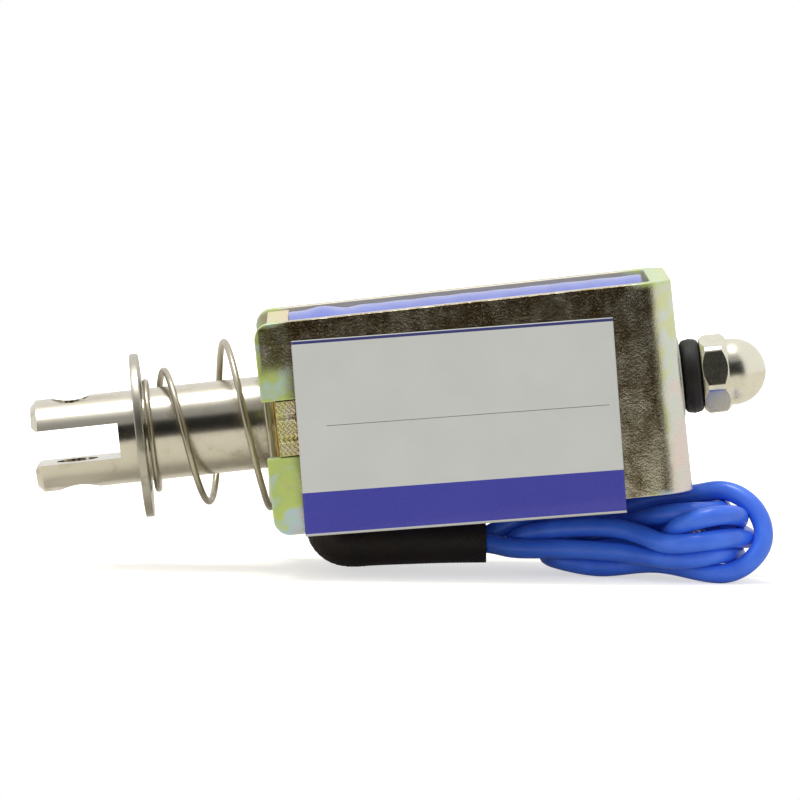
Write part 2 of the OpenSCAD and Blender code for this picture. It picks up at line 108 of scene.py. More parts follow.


# %% [markdown]
# ## The two leads
#
# Each lead is one length of soft insulated wire. It starts at its splice, runs through
# the sleeve, and is folded to and fro into a hank that lies below the frame. A wire
# can't pass through another, and it can't be bent too sharply, so a drawn route is
# only a start: its points are then moved in small steps until the wires lie beside
# each other, keep their length, bend gently, and stay above the floor and below the
# frame.

# %% Rough routes of the leads
LEAD_D = 1.9
ROUTE_A = [
    (9.9, -0.96, -13.15), (13, -0.96, -13.35), (17, -0.96, -13.7), (20.2, -1, -14.05),
    (21.6, -1.5, -14.2), (23.1, -3, -14.3), (25.2, -4.3, -14.7), (28, -4.7, -15.2),
    (30.9, -4.7, -15.7), (34.7, -4.6, -16.4), (37.7, -4.3, -16.8), (40.4, -3.8, -17.1),
    (42.6, -2.6, -17.1), (44.1, -0.8, -17), (44, 1.4, -17), (42.7, 3.4, -17),
    (40, 4.6, -16.9), (36, 4.8, -16.5), (31, 4.7, -15.6), (27.5, 4.6, -15.1),
    (25, 4.1, -14.8), (23.1, 2.6, -14.6), (22.6, 0.4, -14.5), (23, -1.5, -14.2),
    (25.1, -2.9, -13.5), (27.3, -3.4, -13.3), (30, -3.9, -13.3), (32.3, -4.3, -13.5),
    (33.8, -4.5, -13.8), (35.7, -4.7, -14.3), (37.5, -4.8, -14.8), (39.6, -4.8, -15.3),
    (41.7, -4.4, -15.7), (43.5, -3.3, -15.9), (44.6, -1.6, -15.8), (44.9, 0.5, -14.9),
    (44, 2.4, -14.8), (42, 3.8, -14.6), (39.5, 4.5, -14.2), (36, 4.6, -13.8),
    (31, 4.6, -13.2), (28, 4.4, -12.8), (25.6, 3.8, -12.6), (24.2, 2.2, -13.2),
    (24.4, 0.4, -14), (26, -0.8, -14.2), (28.5, -1.2, -14.2), (31, -1.2, -14),
    (34, -1.2, -13.5), (35.8, -1.3, -13.3), (37.6, -1.4, -13), (39.9, -1.6, -12.8),
    (41.7, -1.2, -12.7), (43.4, 0.6, -13), (43, 2.7, -12.9), (41.2, 4.2, -12.6),
    (38.5, 4.8, -12.2), (35, 4.8, -12), (31.5, 4.3, -12),
]
ROUTE_B = [
    (9.9, 0.96, -12.75), (13, 0.96, -12.95), (17, 0.96, -13.25), (20.2, 1, -13.45),
    (21.4, 1, -13.1), (22.2, 0.8, -12.6), (23.5, 0.6, -12.5), (25, 0.3, -12.7),
    (26.5, 0.1, -13.1), (28.7, 0, -13.6), (31, 0.6, -13.1), (34, 2, -12.2),
    (37, 2.9, -11.4), (39.5, 3, -11.3), (41.3, 2.7, -11.3), (42.5, 1.7, -11.9),
    (43.8, 1, -12.6), (45, 0.4, -13.7), (46, -0.1, -14.9), (46.4, -0.7, -16.3),
    (46.1, -1.3, -17.6), (45.1, -1.8, -18.5), (43.6, -2.2, -18.9), (41.4, -2.6, -18.6),
    (39.3, -2.8, -17.9), (37.3, -2.8, -17.2), (34.6, -2.8, -16.8), (32.2, -2.8, -16.6),
    (30, -2.7, -16.4), (28.3, -2.3, -15.9), (27, -1.5, -15.3), (25.9, 0.6, -15.4),
    (26.6, 2.5, -15.8), (29, 3, -16.3), (33, 2.9, -16.8), (38, 2.7, -17.2),
    (41.3, 2.7, -17), (43.2, 2.4, -15.9), (44.2, 1.4, -14.5), (44.5, -0.2, -13.9),
    (44.8, -1.8, -13.4), (44, -2.9, -13.3), (42.9, -3.4, -13.5), (41.7, -3.5, -14),
    (40.3, -3.2, -14.4), (38.2, -2.6, -15.6), (35.5, -2, -15.9), (32.5, -1.4, -15.8),
    (30, -0.6, -15.4), (28.8, 1, -15), (29.6, 2.4, -14.6), (32, 2.6, -14.5),
    (36, 2, -14.8), (38.5, 1.7, -15),
]


def smooth_route(route, step=0.25):
    """A smooth curve through the points of a route, with a point about every step."""
    inner = np.array(route, float)
    points = np.vstack([2 * inner[0] - inner[1], inner, 2 * inner[-1] - inner[-2]])
    out = []
    for p0, p1, p2, p3 in zip(points, points[1:], points[2:], points[3:]):
        t0 = 0.0
        t1 = t0 + math.sqrt(np.linalg.norm(p1 - p0))
        t2 = t1 + math.sqrt(np.linalg.norm(p2 - p1))
        t3 = t2 + math.sqrt(np.linalg.norm(p3 - p2))
        count = max(2, int(np.linalg.norm(p2 - p1) / step) + 1)
        t = np.linspace(t1, t2, count, endpoint=False)[:, None]
        a1 = (t1 - t) / (t1 - t0) * p0 + (t - t0) / (t1 - t0) * p1
        a2 = (t2 - t) / (t2 - t1) * p1 + (t - t1) / (t2 - t1) * p2
        a3 = (t3 - t) / (t3 - t2) * p2 + (t - t2) / (t3 - t2) * p3
        b1 = (t2 - t) / (t2 - t0) * a1 + (t - t0) / (t2 - t0) * a2
        b2 = (t3 - t) / (t3 - t1) * a2 + (t - t1) / (t3 - t1) * a3
        out.append((t2 - t) / (t2 - t1) * b1 + (t - t1) / (t2 - t1) * b2)
    return np.vstack(out + [inner[-1:]])


def even_points(path, step):
    """The path's points again, a step apart."""
    along = np.r_[0, np.cumsum(np.linalg.norm(np.diff(path, axis=0), axis=1))]
    wanted = np.linspace(0, along[-1], int(round(along[-1] / step)) + 1)
    return np.stack([np.interp(wanted, along, path[:, k]) for k in range(3)], axis=1)


def path_length(path):
    return float(np.linalg.norm(np.diff(path, axis=0), axis=1).sum())


# %% Where the leads may lie
FLOOR_STATION, FLOOR_Z, FLOOR_SLOPE = 12, -15.98, -0.122
FRAME_BOTTOM, UNDER_FRAME = -10.25, 20
HANK_FRONT, HANK_BACK = -11.6, 4.8
HANK_LEAN, LEAN_RISE, LEAN_START, LEAN_END = 7, 0.2, 30, 44
FLOOR_GAP, FRAME_GAP = 0.01, 0.02


def lean_forward(route):
    """The route with the hank's loose end brought towards the front."""
    route = np.array(route, float)
    share = np.clip((route[:, 0] - LEAN_START) / (LEAN_END - LEAN_START), 0, 1)
    share = share * share * (3 - 2 * share)
    route[:, 1] -= HANK_LEAN * share
    route[:, 2] += LEAN_RISE * share
    return route


def keep_within(points):
    """Keeps points above the floor, below the frame and inside the hank's depth."""
    floor = FLOOR_Z + FLOOR_SLOPE * (points[:, 0] - FLOOR_STATION) + LEAD_D / 2
    points[:, 2] = np.maximum(points[:, 2], floor + FLOOR_GAP)
    below = (points[:, 0] > UNDER_FRAME) & (points[:, 0] < FRAME_L + LEAD_D / 2)
    roof = FRAME_BOTTOM - LEAD_D / 2 - FRAME_GAP
    points[below, 2] = np.minimum(points[below, 2], roof)
    points[:, 1] = np.clip(points[:, 1], HANK_FRONT, HANK_BACK)


print("the hank leans", HANK_LEAN, "mm towards the front")

# %% Small moves that settle a wire
LINK_L = 0.8
SPACING = 1.015 * LEAD_D
LEAST_BEND_R, WIDEST_BEND = 3.8, 1.5
# How much of a fault each kind of move mends in one round.
SMOOTHING, PUSHING, UNBENDING, LENGTH_KEEPING = 0.5, 0.4, 0.12, 0.25


def smooth_wire(wire):
    """Moves each point towards the cubic through the two on either side of it."""
    bow = (4 * wire[1:-3] + 4 * wire[3:-1] - wire[:-4] - wire[4:]) / 6
    wire[2:-2] += SMOOTHING * (bow - wire[2:-2])


def push_apart(points, neighbours):
    """Moves points off each other, but not those that follow each other on a wire."""
    apart = points[:, None] - points[None, :]
    distance = np.linalg.norm(apart, axis=2) + 1e-9
    close = (distance < SPACING) & ~neighbours
    push = np.where(close, PUSHING * (SPACING - distance), 0) / distance
    crowd = np.sqrt(np.maximum(close.sum(axis=1), 1))[:, None]
    points += (apart * push[:, :, None]).sum(axis=1) / crowd


def open_bends(wire):
    """Spreads the ends of each short arc that is bent more sharply than it may be."""
    for links in (4, 6, 8):
        bend = links * LINK_L / (2 * LEAST_BEND_R)
        least = 2 * LEAST_BEND_R * math.sin(min(bend, WIDEST_BEND))
        chord = wire[links:] - wire[:-links]
        size = np.linalg.norm(chord, axis=1, keepdims=True)
        move = chord / size * np.maximum(least - size, 0) * UNBENDING
        wire[links:] += move
        wire[:-links] -= move


def keep_length(wire, link_l):
    """Brings every other link nearer its own length, and then the ones between."""
    for first in (0, 1):
        k = np.arange(first, len(wire) - 1, 2)
        link_line = wire[k + 1] - wire[k]
        size = np.linalg.norm(link_line, axis=1, keepdims=True)
        move = LENGTH_KEEPING * (size - link_l) * link_line / size
        wire[k] += move
        wire[k + 1] -= move


print("wires are settled in links of", LINK_L, "mm")

# %% Settle the leads beside each other
ROUNDS = 900
# The pull back to the drawn route fades, so the last rounds only smooth and separate.
HOLD, HOLD_ROUNDS = 0.03, 0.8 * ROUNDS
FIXED_L, NEIGHBOUR_L = 10.5, 3.2 * LEAD_D
FINE_STEP = 0.4


def settle(routes):
    """The routes as wires that clear each other, the floor and the frame."""
    drawn_wires = [even_points(smooth_route(route), LINK_L) for route in routes]
    link_ls = [path_length(wire) / (len(wire) - 1) for wire in drawn_wires]
    drawn = np.vstack(drawn_wires)
    points = drawn.copy()
    counts = [len(wire) for wire in drawn_wires]
    wires = np.split(points, np.cumsum(counts)[:-1])
    wire_of = np.repeat(np.arange(len(counts)), counts)
    along = np.concatenate([np.arange(count) * LINK_L for count in counts])
    neighbours = (wire_of[:, None] == wire_of) & (
        abs(along[:, None] - along) < NEIGHBOUR_L
    )
    fixed = along < FIXED_L
    for turn in range(ROUNDS):
        for wire in wires:
            smooth_wire(wire)
        points += HOLD * max(0, 1 - turn / HOLD_ROUNDS) * (drawn - points)
        push_apart(points, neighbours)
        for wire, link_l in zip(wires, link_ls):
            open_bends(wire)
            keep_length(wire, link_l)
        keep_within(points)
        points[fixed] = drawn[fixed]
    return [even_points(smooth_route(wire), FINE_STEP) for wire in wires]


lead_paths = settle([lean_forward(ROUTE_A), lean_forward(ROUTE_B)])
for letter, path in zip("AB", lead_paths):
    print("lead", letter, round(path_length(path), 1), "mm")


# %% Leads as round curves
def link(name, data):
    """A new object at the origin, in the scene."""
    made = bpy.data.objects.new(name, data)
    bpy.context.scene.collection.objects.link(made)
    return made


def path_curve(name, paths):
    """A curve object with one open spline through each path of station points."""
    curve = bpy.data.curves.new(name, "CURVE")
    curve.dimensions = "3D"
    for path in paths:
        spline = curve.splines.new("POLY")
        spline.points.add(len(path) - 1)
        for point, spot in zip(spline.points, path):
            point.co = (*place(*spot), 1)
    return link(name, curve)


leads = []
for letter, path in zip("ab", lead_paths):
    lead = path_curve(f"insulated_lead_{letter}", [path])
    lead.data.bevel_depth = LEAD_D / 2 * MM
    lead.data.bevel_resolution = 5
    lead.data.use_fill_caps = True
    leads.append(lead)
print("leads:", [lead.name for lead in leads])

# %% [markdown]
# ## Writing shader maths as Python
#
# A node tree is easier to read as an expression than as a drawing. Value wraps a
# socket, and +, -, * and / add Math nodes. Every other node comes from Graph.node: its
# type, its settings, then what goes into its sockets. The same two classes build
# Geometry Nodes trees.


# %% Value
class Value:
    """An output socket that arithmetic works on."""

    def __init__(self, graph, socket):
        self.graph, self.socket = graph, socket

    def out(self, key):
        """Another output of the same node."""
        return Value(self.graph, self.socket.node.outputs[key])

    def _maths(self, operation, *terms):
        return self.graph.node(
            "ShaderNodeMath", {"operation": operation}, dict(enumerate(terms))
        )

    def __add__(self, other):
        return self._maths("ADD", self, other)

    def __sub__(self, other):
        return self._maths("SUBTRACT", self, other)

    def __rsub__(self, other):
        return self._maths("SUBTRACT", other, self)

    def __mul__(self, other):
        return self._maths("MULTIPLY", self, other)

    def __truediv__(self, other):
        return self._maths("DIVIDE", self, other)

    __radd__ = __add__

    def sine(self):
        return self._maths("SINE", self)

    def size(self):
        return self._maths("ABSOLUTE", self)

    def larger(self, other):
        return self._maths("MAXIMUM", self, other)

    def rise(self, start, end):
        """0 below start, 1 above end, and smooth between them."""
        return self.graph.node(
            "ShaderNodeMapRange",
            {"interpolation_type": "SMOOTHSTEP"},
            {"Value": self, "From Min": start, "From Max": end},
        )

    def within(self, low, high, soft):
        """1 between low and high, with soft edges."""
        risen = self.rise(low - soft, low + soft)
        return risen * (1 - self.rise(high - soft, high + soft))


# %% Graph
class Graph:
    """A node tree that Python expressions add to."""

    def __init__(self, tree):
        self.tree = tree

    def node(self, kind, settings=None, inputs=None, output=0):
        made = self.tree.nodes.new(kind)
        for key, value in (settings or {}).items():
            if key == "stops":
                ramp = made.color_ramp
                while len(ramp.elements) > 1:
                    ramp.elements.remove(ramp.elements[-1])
                ramp.elements[0].position, ramp.elements[0].color = value[0]
                for spot, colour in value[1:]:
                    ramp.elements.new(spot).color = colour
            elif key == "captures":
                for item in value:
                    made.capture_items.new("FLOAT", item)
            else:
                setattr(made, key, value)
        for key, value in (inputs or {}).items():
            if isinstance(value, Value):
                self.tree.links.new(value.socket, made.inputs[key])
            else:
                made.inputs[key].default_value = value
        return Value(self, made.outputs[output]) if made.outputs else made

    def millimetres(self):
        """The piece's own coordinates, in millimetres."""
        spot = self.node("ShaderNodeTexCoord").out("Object")
        return self.stretched(spot, (1000,) * 3)

    def stretched(self, vector, factors):
        return self.node(
            "ShaderNodeVectorMath", {"operation": "MULTIPLY"}, {0: vector, 1: factors}
        )

    def parts(self, vector):
        split = self.node("ShaderNodeSeparateXYZ", None, {0: vector})
        return split.out("X"), split.out("Y"), split.out("Z")

    def noise(self, vector, scale, detail=3.0, rough=0.55, distort=0.0):
        look = {"Scale": scale, "Detail": detail, "Roughness": rough}
        inputs = {"Vector": vector, **look, "Distortion": distort}
        return self.node("ShaderNodeTexNoise", None, inputs)

    def blend(self, share, first, second):
        """A mix of two colours."""
        return self.node(
            "ShaderNodeMix", {"data_type": "RGBA"}, {0: share, 6: first, 7: second}, 2
        )

    def bump(self, height, strength, depth_mm):
        inputs = {"Height": height, "Strength": strength, "Distance": depth_mm * MM}
        return self.node("ShaderNodeBump", None, inputs)


# %% Colours and materials
def colour(red, green, blue):
    """A linear colour from red, green and blue as seen on a screen, 0 to 255."""
    channels = [c / 255 for c in (red, green, blue)]
    return tuple(
        c / 12.92 if c <= 0.04045 else ((c + 0.055) / 1.055) ** 2.4 for c in channels
    ) + (1.0,)


def new_finish(name):
    """An empty material and its graph."""
    material = bpy.data.materials.new(name)
    material.use_nodes = True
    material.node_tree.nodes.clear()
    return material, Graph(material.node_tree)


def complete(graph, **inputs):
    """Ends a material with a Principled shader. Names use _ for a space."""
    shader = graph.node(
        "ShaderNodeBsdfPrincipled",
        None,
        {key.replace("_", " "): value for key, value in inputs.items()},
    )
    graph.node("ShaderNodeOutputMaterial", None, {"Surface": shader})


print("white is", colour(255, 255, 255))

# %% [markdown]
# ## The studio
#
# The solenoid lies on a pale floor under one broad overhead lamp, and the world lights
# matt surfaces a little more from the front. Metal shows its shape by what it reflects,
# so glossy rays see a world of their own: a dark room on the camera's side, a dimmer
# light above it, and white at the sides and behind. The camera itself sees white, and
# the floor glows to white away from the solenoid, so that only its shadow is left.

# %% Floor
floor_mesh = bpy.data.meshes.new("floor")
FLOOR_HALF_W, FLOOR_FRONT, FLOOR_BACK = 700, -108, 900
FLOOR_DROP = 0.02
GLOW_UNIT, GLOW_START, GLOW_FULL = 100, 0.05, 2.5
NEAR_SHADE, SHEEN = 0.42, 0.08
corners = []
for x, across in (
    (-1, FLOOR_FRONT), (1, FLOOR_FRONT), (1, FLOOR_BACK), (-1, FLOOR_BACK)
):
    station = FLOOR_STATION + x * FLOOR_HALF_W
    height = FLOOR_Z + FLOOR_SLOPE * (station - FLOOR_STATION) - FLOOR_DROP
    corners.append(place(station, across, height))
floor_mesh.from_pydata(corners, [], [(0, 1, 2, 3)])
floor = link("floor", floor_mesh)

floor_paint, g = new_finish("pale_floor")
rays = g.node("ShaderNodeLightPath")
seen = rays.out("Is Camera Ray") + rays.out("Is Transmission Ray")
across, depth, _ = g.parts(g.millimetres())
distance = (across * across + depth * depth) / GLOW_UNIT**2
near = 1 - distance.rise(GLOW_START, GLOW_FULL)
fill = seen * (1 - near * NEAR_SHADE) + rays.out("Is Glossy Ray") * SHEEN
matt = g.node("ShaderNodeBsdfDiffuse", None, {"Color": colour(226, 222, 212)})
glow = g.node("ShaderNodeEmission", None, {"Color": (1, 1, 1, 1), "Strength": fill})
both = g.node("ShaderNodeAddShader", None, {0: matt, 1: glow})
g.node("ShaderNodeOutputMaterial", None, {"Surface": both})
floor.data.materials.append(floor_paint)
print("floor:", [round(c / MM) for c in floor.dimensions])

# %% World
AMBIENT, FRONT_FILL = 0.5, 0.42
FRONT_LIMITS = (-0.25, 0.15)
ROOM_BOTTOM, ROOM_TOP, ROOM_SOFT = -0.18, 0.6, 0.05
ROOM_SIDES, ROOM_DARKNESS = (0.75, 1.0), 0.98
OVER_ROOM_DIMMING, ZENITH, ZENITH_LIFT = 0.62, (0.8, 1.0), 0.4
world = bpy.data.worlds.new("studio")
bpy.context.scene.world = world
world.use_nodes = True
world.node_tree.nodes.clear()
g = Graph(world.node_tree)
rays = g.node("ShaderNodeLightPath")
across, depth, height = g.parts(g.node("ShaderNodeTexCoord").out("Generated"))
sideways = across.size() / (0 - depth).larger(0.001)
facing = 1 - sideways.rise(*ROOM_SIDES)
dark_room = height.within(ROOM_BOTTOM, ROOM_TOP, ROOM_SOFT) * facing
bright = 1.0 - facing * (OVER_ROOM_DIMMING - height.rise(*ZENITH) * ZENITH_LIFT)
mirrored = bright * (1 - dark_room * ROOM_DARKNESS)
front = 1 - depth.rise(*FRONT_LIMITS)
strength = (
    rays.out("Is Camera Ray")
    + rays.out("Is Transmission Ray")
    + rays.out("Is Glossy Ray") * mirrored
    + rays.out("Is Diffuse Ray") * (AMBIENT + front * FRONT_FILL)
)
sky = g.node(
    "ShaderNodeBackground", None, {"Color": (1, 1, 1, 1), "Strength": strength}
)
g.node("ShaderNodeOutputWorld", None, {"Surface": sky})
print("ambient light:", AMBIENT, "and", FRONT_FILL, "more from the front")


# %% Lamps
def lamp(name, elevation, azimuth, distance, size, watts):
    """A square soft lamp that faces the solenoid. Azimuth 0 is the camera's side."""
    data = bpy.data.lights.new(name, "AREA")
    data.size, data.energy = size, watts
    made = link(name, data)
    e, a = math.radians(elevation), math.radians(azimuth)
    away = Vector(
        (math.cos(e) * math.sin(a), -math.cos(e) * math.cos(a), math.sin(e))
    )
    made.location = LOOK_AT + distance * away
    made.rotation_euler = away.to_track_quat("Z", "Y").to_euler()
    return made


lamp("overhead", elevation=90, azimuth=0, distance=0.6, size=0.2, watts=1.7)

# %% [markdown]
# ## Finishes
#
# Bright zinc that has been passivated carries a film so thin that it shows faint
# rainbow bands, and it stains brown where it was handled or rinsed badly. Nickel is
# warmer and cleaner and keeps the fine marks of turning. Each finish below is a few
# noises at the scale of the real marks, mixed into colour, roughness and a slight bump.


# %% Zinc
# Where the film and the stains begin and are full, in the solid model's millimetres.
OPEN_END, END_RIM, BEND = (-18.2, -16.2), (-20.0, -19.6), (17.6, 19.2)
STRIP_EDGE, BELOW_TOP = (9.55, 10.15), (4.8, 6.6)
SIDES, INSIDE, BETWEEN_TABS = (-17.5, 16.5), (-24.7, -0.8), (-23.3, -2.2)
FILM_COLOURS = [
    (0.12, colour(232, 204, 212)), (0.35, colour(196, 220, 224)),
    (0.44, colour(204, 222, 124)), (0.56, colour(196, 216, 132)),
    (0.63, colour(196, 218, 200)), (0.72, colour(206, 220, 120)),
    (0.85, colour(222, 214, 150)),
]


def zinc(name, pale, brown, film_share, stain_share, knurl=0.0):
    """Passivated zinc: spangled, stained brown, with a rainbow film on its rims."""
    material, g = new_finish(name)
    mm = g.millimetres()
    along, depth, height = g.parts(mm)
    spangle = g.noise(mm, 3.8, 5, 0.72)
    patches = g.noise(mm, 0.45, 4, 0.6, 0.5)
    streaks = g.noise(g.stretched(mm, (0.9, 0.9, 0.16)), 1, 4, 0.65)
    tones = g.noise(mm, 0.3, 2)

    end = 1 - along.rise(*OPEN_END)
    end_rim = 1 - along.rise(*END_RIM)
    low = 1 - height.rise(*BELOW_TOP) * 0.85
    rim = height.size().rise(*STRIP_EDGE)
    bend = along.rise(*BEND)
    far_rim = rim * (1 - along.within(*SIDES, 1.0))
    film = end * low
    film = film.larger(far_rim.larger(end_rim) * 0.8).larger(bend * 0.4)
    film = film * film_share * patches.rise(0.12, 0.42)
    rainbow = g.node(
        "ShaderNodeValToRGB",
        {"stops": FILM_COLOURS},
        {0: tones + height * 0.006 + bend * (height * 0.02 - 0.22)},
    )
    mottle = patches * 0.36 + streaks * 0.24 + spangle * 0.4
    inside = depth.within(*INSIDE, 0.4) * (1 - bend)
    # The height term makes the zinc a little browner and darker towards the top.
    stain = (mottle + height * 0.003).rise(0.36, 0.6) * (1 - bend) * (1 - inside)
    stain = stain * stain_share
    dull = g.blend(spangle.rise(0.5, 0.72), brown, pale)
    tabs = 1 - depth.within(*BETWEEN_TABS, 0.1)
    ripple = (along * 13.5 + (height * 10.5).sine() * 1.3).sine() * tabs * knurl
    complete(
        g,
        Base_Color=g.blend(film, g.blend(stain, pale, dull), rainbow),
        Metallic=0.97 - film * 0.5 - inside * 0.55,
        Roughness=0.11 + spangle * 0.13 + film * 0.22 + inside * 0.25,
        Normal=g.bump(spangle * (1 - bend * 0.85) + patches * 0.8 + ripple, 0.9, 0.034),
    )
    return material


zinc_frame = zinc(
    "zinc_frame", colour(214, 208, 184), colour(102, 82, 46),
    film_share=1.0, stain_share=1.0,
)
zinc_plate = zinc(
    "zinc_plate", colour(220, 202, 164), colour(168, 128, 88),
    film_share=0.35, stain_share=0.5, knurl=1.0,
)
print("zinc:", zinc_frame.name, "and", zinc_plate.name)


# %% Turned and drawn metals
def turned(name, bright, dark, rough, ring_scale=7.0, smudge=0.5):
    """Metal with marks that run round the X axis, and faint darker smudges."""
    material, g = new_finish(name)
    mm = g.millimetres()
    rings = g.noise(g.stretched(mm, (ring_scale, 0.25, 0.25)), 1, 4, 0.6)
    scratches = g.noise(g.stretched(mm, (0.3, 6, 6)), 1, 3, 0.6)
    clouds = g.noise(mm, 0.45, 4, 0.6)
    worn = clouds.rise(0.5, 0.72) * smudge
    complete(
        g,
        Base_Color=g.blend(worn, colour(*bright), colour(*dark)),
        Metallic=1.0,
        Roughness=rough + rings * 0.07 + worn * 0.16 + scratches * 0.05,
        Normal=g.bump(rings + scratches * 0.35, 0.2, 0.01),
    )
    return material


METALS = {
    "plunger_nickel": ((212, 206, 190), (172, 160, 138), 0.17),
    "nut_nickel": ((226, 222, 204), (190, 184, 162), 0.2, 9, 0.3),
    "rod_steel": ((196, 194, 190), (140, 136, 130), 0.25, 12),
    "core_steel": ((176, 174, 170), (120, 116, 110), 0.32, 6),
    "ring_steel": ((186, 182, 168), (122, 116, 100), 0.28, 2),
    "spring_steel": ((184, 176, 158), (128, 118, 100), 0.26, 3),
    "brass": ((212, 178, 104), (160, 124, 66), 0.24, 8),
    "solder": ((206, 208, 212), (150, 152, 156), 0.34, 4),
}
metal = {name: turned(name, *looks) for name, looks in METALS.items()}
print("metals:", list(metal))


# %% Plastics and rubber
def moulded(name, body, shade, rough, grain_scale, coat=0.0):
    """A moulded or coated surface: soft cloudy tone, fine grain, and some gloss."""
    material, g = new_finish(name)
    mm = g.millimetres()
    clouds = g.noise(mm, 0.35, 3)
    grain = g.noise(mm, grain_scale, 4, 0.6)
    complete(
        g,
        Base_Color=g.blend(
            clouds.rise(0.3, 0.75) * 0.6 + grain * 0.25, colour(*body), colour(*shade)
        ),
        Roughness=rough + grain * 0.14,
        Coat_Weight=coat,
        Coat_Roughness=0.2,
        Normal=g.bump(grain, 0.25, 0.01),
    )
    return material


PLASTICS = {
    "lead_blue": ((66, 124, 246), (46, 98, 222), 0.32, 5, 0.2),
    "blue_tape": ((104, 120, 208), (76, 90, 184), 0.26, 1.4, 0.6),
    "bumper_rubber": ((22, 18, 14), (12, 10, 8), 0.5, 7),
    "sleeve_dark": ((32, 19, 9), (12, 7, 4), 0.5, 4, 0.05),
    "bobbin_nylon": ((226, 221, 205), (206, 199, 180), 0.42, 3),
}
plastic = {name: moulded(name, *looks) for name, looks in PLASTICS.items()}
print("plastics:", list(plastic))

# %% Copper
COIL_PHASE = 12.57  # radians per millimetre, for two turns

copper, g = new_finish("copper_winding")
mm = g.millimetres()
along, _, _ = g.parts(mm)
turns = (along * COIL_PHASE).sine()
lacquer = g.noise(mm, 0.8, 3)
complete(
    g,
    Base_Color=g.blend(lacquer, colour(176, 92, 44), colour(134, 62, 28)),
    Metallic=0.9,
    Roughness=0.3 + lacquer * 0.1,
    Normal=g.bump(turns, 0.6, 0.08),
)
print("finishes:", len(bpy.data.materials))


# %% The leads' finish and what they stand for
FRAME_BODY, RING_BODY = "frame_assembly", "spring_seat"
PLUNGER_BODY = "plunger_assembly"


def dress(piece, finish, slot, body, *nodes):
    """Gives a piece a finish; the slot is not used. It rides on a body and stands for
    CAD nodes.
    """
    piece.data.materials.clear()
    piece.data.materials.append(finish)
    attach(piece, body)
    if nodes:
        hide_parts(*nodes)
    return piece


blue = plastic["lead_blue"]
dress(leads[0], blue, "lead_blue", FRAME_BODY, "lead_wire_a", "lead_hank")
dress(leads[1], blue, "lead_blue", FRAME_BODY, "lead_wire_b")
print("dressed:", [lead.name for lead in leads])

# %% [markdown]
# ## Sweeping a wire along a path with Geometry Nodes
#
# The spring, the stripped ends of the leads and the threads in the mounting holes are
# all a round bar that follows a line. One tree does that for any curve: a circle is
# swept along it, and its ends are filled. The radius, the number of sides and the
# finish are named inputs.


# %% The sweep tree
def new_tree(name, sizes):
    """A Geometry Nodes tree: a geometry, a float for each size and a Finish go in."""
    tree = bpy.data.node_groups.new(name, "GeometryNodeTree")
    floats = [(size, "Float") for size in sizes]
    for label, kind in [("Geometry", "Geometry"), *floats, ("Finish", "Material")]:
        tree.interface.new_socket(
            label, in_out="INPUT", socket_type="NodeSocket" + kind
        )
    tree.interface.new_socket(
        "Geometry", in_out="OUTPUT", socket_type="NodeSocketGeometry"
    )
    graph = Graph(tree)
    return tree, graph, graph.node("NodeGroupInput")


def end_tree(graph, entry, geometry):
    """Ends a tree with Realize Instances and Set Material."""
    smooth = graph.node("GeometryNodeSetShadeSmooth", None, {"Geometry": geometry})
    real = graph.node("GeometryNodeRealizeInstances", None, {"Geometry": smooth})
    coated = graph.node(
        "GeometryNodeSetMaterial",
        None,
        {"Geometry": real, "Material": entry.out("Finish")},
    )
    graph.node("NodeGroupOutput", None, {"Geometry": coated})


sweep_tree, g, entry = new_tree("round_bar_along_a_curve", ["Radius", "Sides"])
ring = g.node(
    "GeometryNodeCurvePrimitiveCircle",
    None,
    {"Resolution": entry.out("Sides"), "Radius": entry.out("Radius")},
)
bar = g.node(
    "GeometryNodeCurveToMesh",
    None,
    {"Curve": entry.out("Geometry"), "Profile Curve": ring, "Fill Caps": True},
)
end_tree(g, entry, bar)


def as_mesh(source, name):
    """An object's finished shape as a plain mesh at the origin. The source goes."""
    graph = bpy.context.evaluated_depsgraph_get()
    mesh = bpy.data.meshes.new_from_object(source.evaluated_get(graph), depsgraph=graph)
    bpy.data.objects.remove(source)
    return link(name, mesh)


def grow(source, tree, name, **inputs):
    """Runs a tree on an object with its inputs set, and returns a plain mesh."""
    modifier = source.modifiers.new(tree.name, "NODES")
    modifier.node_group = tree
    for item in tree.interface.items_tree:
        if item.in_out == "INPUT" and item.name in inputs:
            modifier[item.identifier] = inputs[item.name]
    return as_mesh(source, name)


print("tree:", sweep_tree.name, len(sweep_tree.nodes), "nodes")

# %% [markdown]
# ## The return spring
#
# The spring is a cone of hard-drawn wire. Its small end bears on the retaining ring and
# its large end on the end plate, each with a closed turn. The rise and the widening are
# read from two short tables by the angle the wire has turned through, with the corners
# eased, exactly as in the solid model, so the spring keeps its place between its two
# seats.

# %% Return spring
SPRING_RISE = [
    (-108, 0), (252, 0.037), (360, 0.165), (540, 0.417), (720, 0.669), (900, 0.916),
    (1080, 0.941), (1260, 0.976), (1440, 1),
]
SPRING_WIDENING = [
    (-108, 0), (252, 0.16), (360, 0.32), (540, 0.65), (720, 0.98), (792, 1), (1440, 1),
]
SPRING_WIRE, SPRING_R_SMALL, SPRING_R_LARGE = 0.64, 4.95, 8.35
RING_FACE, PLATE_FACE = -11.65, 1.3
SEAT_GAP, EASE_DEG = 0.01, 43
SPRING_DEGREES = range(-108, 1441, 6)


def eased(degrees, table):
    """A table's value at an angle, with its corners eased."""
    spots, shares = zip(*table)
    around = (degrees - EASE_DEG, degrees, degrees + EASE_DEG)
    return np.mean([np.interp(spot, spots, shares) for spot in around])


def spring_spot(degrees):
    """Where the middle of the wire is after turning through an angle."""
    first = RING_FACE + SPRING_WIRE / 2 + SEAT_GAP
    last = PLATE_FACE - SPRING_WIRE / 2 - SEAT_GAP
    station = first + (last - first) * eased(degrees, SPRING_RISE)
    widening = SPRING_R_LARGE - SPRING_R_SMALL
    r = SPRING_R_SMALL + widening * eased(degrees, SPRING_WIDENING)
    turn = math.radians(degrees)
    return station, -r * math.sin(turn), r * math.cos(turn)


